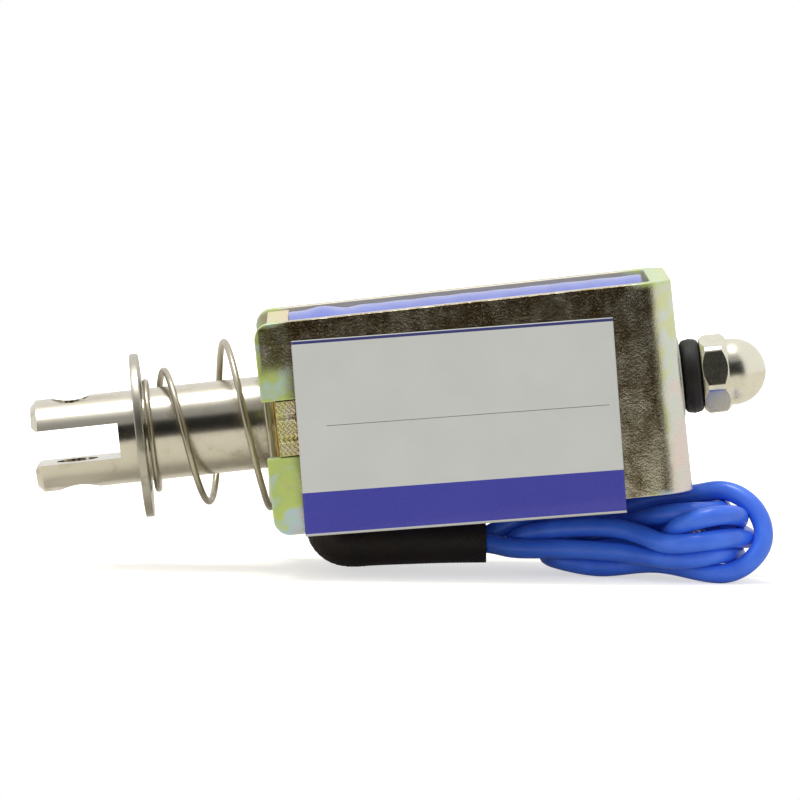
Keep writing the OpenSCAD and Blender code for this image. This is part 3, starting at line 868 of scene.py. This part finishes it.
spring_line = path_curve("spring_line", [[spring_spot(d) for d in SPRING_DEGREES]])
return_coil = grow(
    spring_line, sweep_tree, "return_coil",
    Radius=SPRING_WIRE / 2 * MM, Sides=16.0, Finish=metal["spring_steel"],
)
dress(return_coil, metal["spring_steel"], "spring_steel", FRAME_BODY, "return_spring")
place(PLATE_FACE, 0, 0)
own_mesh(return_coil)
print("spring faces:", len(return_coil.data.polygons))

# %% [markdown]
# ## Stripped ends
#
# The leads end bare. About four millimetres of insulation is off, and the seven strands
# are twisted together and tinned. Six helices round a straight one make the twist.

# %% Stripped ends of the leads
STRAND_R, TWIST_PITCH, STRIPPED_L = 0.17, 5.0, 4.0
TWIST_R, TUCKED_L, STRAND_POINTS = 2.05 * STRAND_R, 0.5, 24


def strands(tip, heading):
    """Seven lines that leave tip along heading: one straight, six twisted round it."""
    heading = np.array(heading) / np.linalg.norm(heading)
    side = np.cross(heading, (0, 0, 1))
    side /= np.linalg.norm(side)
    other = np.cross(heading, side)
    along = np.linspace(-TUCKED_L, STRIPPED_L, STRAND_POINTS)
    lines = [[tip + heading * t for t in along]]
    for k in range(6):
        turn = 2 * math.pi * (k / 6 + along / TWIST_PITCH)
        lines.append(
            [
                tip + heading * t + TWIST_R * (math.cos(a) * side + math.sin(a) * other)
                for t, a in zip(along, turn)
            ]
        )
    return lines


stripped = []
for letter, path in zip("ab", lead_paths):
    line = path_curve(f"strands_{letter}", strands(path[-1], path[-1] - path[-4]))
    end = grow(
        line, sweep_tree, f"stripped_end_{letter}",
        Radius=STRAND_R * MM, Sides=10.0, Finish=metal["solder"],
    )
    stripped.append(dress(end, metal["solder"], "solder", FRAME_BODY))
print("stripped ends:", len(stripped))

# %% [markdown]
# ## The varnished sleeve
#
# Both splices hide in a braided sleeve that has been dipped in dark varnish. A braid is
# two sets of yarns that wind in opposite directions and cross over and under. Here the
# tree keeps, for each point of a swept tube, how far along the path and how far round
# the tube it is. Two sums of those shares give the two sets of yarns, and the larger
# one lifts the surface.

# %% The braid tree
braid_tree, g, entry = new_tree(
    "braid_along_a_curve", ["Radius", "Relief", "Yarns", "Turns"]
)


def captured(geometry, name):
    """A curve whose points remember their share of the way along it."""
    share = g.node("GeometryNodeSplineParameter").out("Factor")
    return g.node(
        "GeometryNodeCaptureAttribute",
        {"captures": [name]},
        {"Geometry": geometry, 1: share},
    )


SLEEVE_SIDES, SLEEVE_RINGS, CROSSING = 96, 150, 0.35
fine_path = g.node(
    "GeometryNodeResampleCurve",
    None,
    {"Curve": entry.out("Geometry"), "Count": SLEEVE_RINGS},
)
path_share = captured(fine_path, "along")
circle = g.node(
    "GeometryNodeCurvePrimitiveCircle",
    None,
    {"Resolution": SLEEVE_SIDES, "Radius": entry.out("Radius")},
)
ring_share = captured(circle, "round")
tube = g.node(
    "GeometryNodeCurveToMesh", None, {"Curve": path_share, "Profile Curve": ring_share}
)
around = ring_share.out(1) * entry.out("Yarns") * math.pi
wound = path_share.out(1) * entry.out("Turns") * math.pi
one_way = (around + wound).sine()
other_way = (around - wound).sine()
over = one_way * other_way * CROSSING
yarns = (one_way.size() + over).larger(other_way.size() - over)
lift = g.node(
    "ShaderNodeVectorMath",
    {"operation": "SCALE"},
    {0: g.node("GeometryNodeInputNormal"), "Scale": yarns * entry.out("Relief")},
)
woven = g.node("GeometryNodeSetPosition", None, {"Geometry": tube, "Offset": lift})
end_tree(g, entry, woven)
print("tree:", braid_tree.name, len(braid_tree.nodes), "nodes")


# %% Sleeve
def face_outwards(piece):
    """Turns the piece's faces outwards."""
    shape = bmesh.new()
    shape.from_mesh(piece.data)
    bmesh.ops.recalc_face_normals(shape, faces=shape.faces)
    shape.to_mesh(piece.data)
    shape.free()


def thicken(piece, wall):
    """Gives an open surface a wall on its inner side, closed at its edges."""
    solid = piece.modifiers.new("wall", "SOLIDIFY")
    solid.thickness = wall * MM
    solid.offset = -1
    return as_mesh(piece, piece.name + "_wall")


SLEEVE_ROUTE = [
    (5.1, 0, -10.9), (5.3, 0, -11.65), (5.85, 0, -12.3), (6.6, 0, -12.65),
    (7.6, 0, -12.8), (9, 0, -12.85), (12, 0, -13.05), (16, 0, -13.35),
    (20.2, 0, -13.75),
]
SLEEVE_R, SLEEVE_RELIEF, SLEEVE_WALL = 2.25, 0.08, 0.2
sleeve_line = path_curve("sleeve_line", [smooth_route(SLEEVE_ROUTE)])
sleeve = grow(
    sleeve_line, braid_tree, "braided_sleeve_skin",
    Radius=(SLEEVE_R - SLEEVE_RELIEF) * MM, Relief=SLEEVE_RELIEF * MM,
    Yarns=22.0, Turns=26.0, Finish=plastic["sleeve_dark"],
)
face_outwards(sleeve)
sleeve = thicken(sleeve, SLEEVE_WALL)
sleeve.name = "braided_sleeve"
dress(sleeve, plastic["sleeve_dark"], "sleeve_dark", FRAME_BODY, "lead_sleeve")
print("sleeve faces:", len(sleeve.data.polygons))

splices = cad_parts["lead_splices"]
for letter, lead, path, end in zip("ab", leads, lead_paths, stripped):
    place(*path[0])
    [end] + ([sleeve, splices] if letter == "a" else [])

# %% [markdown]
# ## Rounding the edges
#
# Sheared, turned and rolled metal has no perfectly sharp edge, and the thin bright line
# along an edge is much of what makes metal look real. A CAD node is a shell of loose
# triangles, so each piece is a copy with its doubles merged and its flat faces made
# whole, and then a Bevel rounds the edges. Weighted normals keep the flat faces flat.


# %% Eased copies
MERGE_GAP, FLAT_DEG, EDGE_DEG, BEVEL_SEGMENTS = 0.001, 0.6, 28, 2


def eased_copy(node, name, width, slot, finish, body=FRAME_BODY):
    """A copy of a CAD node with rounded edges, which stands for it."""
    shape = bmesh.new()
    shape.from_mesh(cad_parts[node].data)
    bmesh.ops.remove_doubles(shape, verts=shape.verts, dist=MERGE_GAP * MM)
    bmesh.ops.dissolve_limit(
        shape, angle_limit=math.radians(FLAT_DEG), verts=shape.verts, edges=shape.edges
    )
    mesh = bpy.data.meshes.new(name)
    shape.to_mesh(mesh)
    shape.free()
    for polygon in mesh.polygons:
        polygon.use_smooth = True
    source = link(name + "_sharp", mesh)
    bevel = source.modifiers.new("edges", "BEVEL")
    bevel.width = width * MM
    bevel.segments = BEVEL_SEGMENTS
    bevel.limit_method = "ANGLE"
    bevel.angle_limit = math.radians(EDGE_DEG)
    source.modifiers.new("flats", "WEIGHTED_NORMAL")
    return dress(as_mesh(source, name), finish, slot, body, node)


nickel, ring_finish = metal["plunger_nickel"], metal["ring_steel"]
# Node, name, width of the eased edge, slot, finish and body.
EASED = [
    ("u_frame", "bent_frame", 0.14, "zinc_steel", zinc_frame),
    ("end_plate", "staked_plate", 0.07, "zinc_plate", zinc_plate),
    ("fixed_core", "riveted_core", 0.06, "core_steel", metal["core_steel"]),
    ("guide_tube", "brass_guide", 0.06, "brass_tube", metal["brass"]),
    ("bobbin", "nylon_bobbin", 0.08, "bobbin_nylon", plastic["bobbin_nylon"]),
    ("plunger", "forked_plunger", 0.1, "plunger_nickel", nickel, PLUNGER_BODY),
    ("push_rod", "threaded_rod", 0.06, "rod_steel", metal["rod_steel"], PLUNGER_BODY),
    ("shim_washer", "brass_shim", 0.05, "shim_brass", metal["brass"], PLUNGER_BODY),
    ("retaining_ring", "spring_seat_ring", 0.09, "ring_steel", ring_finish, RING_BODY),
    ("cap_nut", "domed_nut", 0.12, "nut_nickel", metal["nut_nickel"], PLUNGER_BODY),
]
for row in EASED:
    piece = eased_copy(*row)
    print(piece.name, len(piece.data.polygons), "faces")

# %% [markdown]
# ## Threads in the mounting holes
#
# The back arm has two tapped holes. The solid model keeps them as plain holes at the
# screw's size, so the thread is added here: a thin ridge that winds almost three times
# round each hole.

# %% Hole threads
HOLE_R, THREAD_PITCH, THREAD_R = 1.5, 0.5, 0.14
MOUNT_PITCH = 20
RIDGE_R, RIDGE_START, RIDGE_DEGREES = HOLE_R - 0.06, 0.35, range(0, 1009, 12)
ridges = []
for side in (-1, 1):
    ridge = []
    for degrees in RIDGE_DEGREES:
        turn = math.radians(degrees)
        ridge.append(
            (
                FRAME_L / 2 + side * MOUNT_PITCH / 2 + RIDGE_R * math.cos(turn),
                -AXIS_Y - RIDGE_START - THREAD_PITCH * degrees / 360,
                RIDGE_R * math.sin(turn),
            )
        )
    ridges.append(ridge)
hole_threads = grow(
    path_curve("ridge_lines", ridges), sweep_tree, "hole_threads",
    Radius=THREAD_R * MM, Sides=6.0, Finish=zinc_frame,
)
dress(hole_threads, zinc_frame, "zinc_steel", FRAME_BODY)
print("thread faces:", len(hole_threads.data.polygons))

# %% [markdown]
# ## The blue tape
#
# The coil is wrapped in polyester tape. It is a thin skin that follows the winding, so
# it is not quite round: it dips a little between the layers, shows the step where the
# last layer stops, and is pressed into small creases near the flange. The skin is a
# grid bent into a cylinder, with the opening for the leads left out, and then given a
# wall.

# %% Tape radius
COIL_R, TAPE_T, TAPE_LAP = 10.5, 0.4, 0.08
TAPE_START, TAPE_END = 3.42, 37.94
EXIT_END, EXIT_HALF = 8.9, 2.5
TAPE_ROUND, TAPE_ALONG = 216, 96
UNDER_SIZE, WALL_SLACK = 0.13, 0.16
LAP_START, LAP_END = 0.9, 1.9


def bulge(x, middle, width):
    """A smooth bump, 1 at its middle and nearly 0 two widths away."""
    return math.exp(-(((x - middle) / width) ** 2))


def tape_radius(station, turn):
    """The tape's outer radius at a station and an angle from the top, to the back."""
    layers = 0.02 * math.sin(station * 1.9 + 0.6 * math.sin(3 * turn))
    sag = 0.05 * (1 - math.cos(5 * turn)) / 2
    crease = 0.32 * bulge(station, 6.6, 1.2) * bulge(turn, -0.1, 0.3)
    dip = 0.1 * bulge(station, 9.2, 0.9) * (1 + math.cos(turn)) / 2
    lap = TAPE_LAP if LAP_START < turn % (2 * math.pi) < LAP_END else 0.0
    return COIL_R - UNDER_SIZE + layers - sag + crease - dip + lap


print("tape radius on top:", round(tape_radius(TAPE_END, 0), 2), "mm")

# %% Tape skin
skin = bmesh.new()
grid = []
for i in range(TAPE_ALONG + 1):
    station = TAPE_START + (TAPE_END - TAPE_START) * i / TAPE_ALONG
    row = []
    for k in range(TAPE_ROUND):
        turn = 2 * math.pi * k / TAPE_ROUND
        turn = turn - 2 * math.pi if turn > math.pi else turn
        r = tape_radius(station, turn)
        row.append(
            skin.verts.new(place(station, r * math.sin(turn), r * math.cos(turn)))
        )
    grid.append(row)
for i in range(TAPE_ALONG):
    for k in range(TAPE_ROUND):
        j = (k + 1) % TAPE_ROUND
        quad = [grid[i][k], grid[i][j], grid[i + 1][j], grid[i + 1][k]]
        middle = sum((v.co for v in quad), Vector()) / 4
        before_end = middle.x / MM + FRAME_L / 2 < EXIT_END
        below_axis = abs(middle.y / MM - AXIS_Y) < EXIT_HALF and middle.z < 0
        if not (before_end and below_axis):
            skin.faces.new(quad)
loose = [v for v in skin.verts if not v.link_faces]
bmesh.ops.delete(skin, geom=loose, context="VERTS")
bmesh.ops.recalc_face_normals(skin, faces=skin.faces)
tape_mesh = bpy.data.meshes.new("coil_wrap")
skin.to_mesh(tape_mesh)
skin.free()
for polygon in tape_mesh.polygons:
    polygon.use_smooth = True
coil_wrap = link("coil_wrap_skin", tape_mesh)
first_face = tape_mesh.polygons[0]
outward = first_face.center - place(TAPE_START, 0, 0)
if first_face.normal.dot(Vector((0, outward.y, outward.z))) < 0:
    tape_mesh.flip_normals()
coil_wrap = thicken(coil_wrap, TAPE_T - WALL_SLACK)
coil_wrap.name = "coil_wrap"
dress(coil_wrap, plastic["blue_tape"], "blue_tape", FRAME_BODY, "coil_tape")
print("tape faces:", len(coil_wrap.data.polygons))

# %% [markdown]
# ## The label
#
# A paper label is stuck on the front arm, slightly askew, and its lower edge hangs past
# the steel. It is a fine grid, a tenth of a millimetre thick, which lies on the arm,
# lifts a hair at its corners and curls back where nothing holds it. It carries no
# words: a plain blue band, a line along the top and a thin rule across the middle are
# all that is printed.

# %% Label
LABEL_L, LABEL_H, LABEL_T = 31, 18.9, 0.1
LABEL_MID = (18.7, -1.6)
LABEL_SLANT = math.radians(1.9)
FRONT_ACROSS = -12.75
LABEL_COLUMNS, LABEL_ROWS = 124, 76
GLUE_GAP, STEEL_EDGE = 0.02, FRAME_BOTTOM + 0.1

sheet = bmesh.new()
uv_layer = sheet.loops.layers.uv.new("UVMap")
spots = {}
for i in range(LABEL_COLUMNS + 1):
    for j in range(LABEL_ROWS + 1):
        u, v = i / LABEL_COLUMNS, j / LABEL_ROWS
        x, z = (u - 0.5) * LABEL_L, (v - 0.5) * LABEL_H
        station = LABEL_MID[0] + x * math.cos(LABEL_SLANT) + z * math.sin(LABEL_SLANT)
        height = LABEL_MID[1] - x * math.sin(LABEL_SLANT) + z * math.cos(LABEL_SLANT)
        corner = max(abs(u - 0.5), abs(v - 0.5)) * 2
        ripple = 0.012 * math.sin(0.5 * station + 0.3 * height)
        lift = ripple + 0.03 * max(corner - 0.93, 0) / 0.07
        curl = 0.16 * max(STEEL_EDGE - height, 0) ** 1.5
        across = FRONT_ACROSS - GLUE_GAP - LABEL_T - max(lift, 0) + curl
        spots[i, j] = sheet.verts.new(place(station, across, height))
for i in range(LABEL_COLUMNS):
    for j in range(LABEL_ROWS):
        corners = [(i, j), (i + 1, j), (i + 1, j + 1), (i, j + 1)]
        face = sheet.faces.new([spots[c] for c in corners])
        face.smooth = True
        for loop, (a, b) in zip(face.loops, corners):
            loop[uv_layer].uv = (a / LABEL_COLUMNS, b / LABEL_ROWS)
label_mesh = bpy.data.meshes.new("paper_label")
sheet.to_mesh(label_mesh)
sheet.free()
paper_label = thicken(link("paper_label_skin", label_mesh), LABEL_T)
paper_label.name = "paper_label"
print("label faces:", len(paper_label.data.polygons))

# %% What is printed on the label
# Each is a share of the label's height or length: from, to, and how soft the ends are.
BAND, TOP_LINE = (0.012, 0.222, 0.0012), (0.981, 0.996, 0.0012)
RULE, RULE_SPAN = (0.555, 0.5585, 0.0008), (0.09, 0.97, 0.0006)

label_print, g = new_finish("label_print")
mm = g.millimetres()
across, upwards, _ = g.parts(g.node("ShaderNodeTexCoord").out("UV"))
fibres = g.noise(mm, 5, 4, 0.6)
clouds = g.noise(mm, 0.22, 2)
paper = g.blend(clouds, colour(196, 199, 196), colour(206, 208, 204))
ink_tone = fibres.rise(0.3, 0.7) * 0.5 + clouds * 0.4
ink = g.blend(ink_tone, colour(46, 48, 158), colour(62, 62, 172))
band = upwards.within(*BAND)
top_line = upwards.within(*TOP_LINE)
rule = upwards.within(*RULE) * across.within(*RULE_SPAN)
printed = g.blend(band, paper, ink)
printed = g.blend(top_line, printed, colour(52, 56, 120))
printed = g.blend(rule * 0.8, printed, colour(60, 60, 64))
complete(
    g,
    Base_Color=printed,
    Roughness=0.36 + fibres * 0.12,
    Coat_Weight=0.25,
    Coat_Roughness=0.25,
    Normal=g.bump(fibres, 0.12, 0.008),
)
dress(paper_label, label_print, "label_paper", FRAME_BODY, "label")
print("label:", LABEL_L, "x", LABEL_H, "mm, finish", label_print.name)

# %% [markdown]
# ## The rubber bumper
#
# A rubber ring on the rod softens the nut's return. It is moulded, so it has a rounded
# section and a faint flash line round the outside where the mould closed. Its section
# is spun round the axis.

# %% Bumper
BUMPER_START, BUMPER_T, BUMPER_R, BUMPER_BORE = 40.9, 1.9, 3.65, 2.02
BUMPER_SEGMENTS, SECTION_POINTS = 128, 48
FLASH, FLASH_WIDTH = 0.05, 0.12
section = []
for k in range(SECTION_POINTS):
    turn = 2 * math.pi * k / SECTION_POINTS
    c, s = math.cos(turn), math.sin(turn)
    square = (abs(c) ** 3 + abs(s) ** 3) ** (-1 / 3)
    flash = sum(FLASH * bulge(turn, seam, FLASH_WIDTH) for seam in (0, 2 * math.pi))
    radius = (BUMPER_R + BUMPER_BORE) / 2 + (BUMPER_R - BUMPER_BORE) / 2 * c * square
    station = BUMPER_START + BUMPER_T / 2 * (1 + s * square)
    section.append((station, min(radius - FLASH + flash, BUMPER_R)))
rubber = bmesh.new()
rings = []
for k in range(BUMPER_SEGMENTS):
    turn = 2 * math.pi * k / BUMPER_SEGMENTS
    rings.append(
        [
            rubber.verts.new(place(station, r * math.sin(turn), r * math.cos(turn)))
            for station, r in section
        ]
    )
for k in range(BUMPER_SEGMENTS):
    near, far = rings[k], rings[(k + 1) % BUMPER_SEGMENTS]
    for i in range(len(section)):
        j = (i + 1) % len(section)
        rubber.faces.new([near[i], near[j], far[j], far[i]]).smooth = True
bmesh.ops.recalc_face_normals(rubber, faces=rubber.faces)
bumper_mesh = bpy.data.meshes.new("rubber_bumper")
rubber.to_mesh(bumper_mesh)
rubber.free()
rubber_bumper = link("rubber_bumper", bumper_mesh)
rubber_finish = plastic["bumper_rubber"]
dress(rubber_bumper, rubber_finish, "bumper_rubber", PLUNGER_BODY, "bumper_ring")
print("bumper faces:", len(rubber_bumper.data.polygons))

# %% [markdown]
# ## What keeps its CAD shape
#
# The winding, the splices and the thin wires from the coil to the splices are nearly
# hidden, and their solids are already the right shape, so they only get a finish.

# %% Finishes on the remaining nodes
for node, finish in (
    ("coil_winding", copper),
    ("lead_splices", metal["solder"]),
    ("coil_tails", copper),
):
    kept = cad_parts[node]
    kept.data.materials.clear()
    kept.data.materials.append(finish)
print("kept as they are: coil_winding, lead_splices, coil_tails")

# %% View transform
bpy.context.scene.view_settings.view_transform = "Standard"
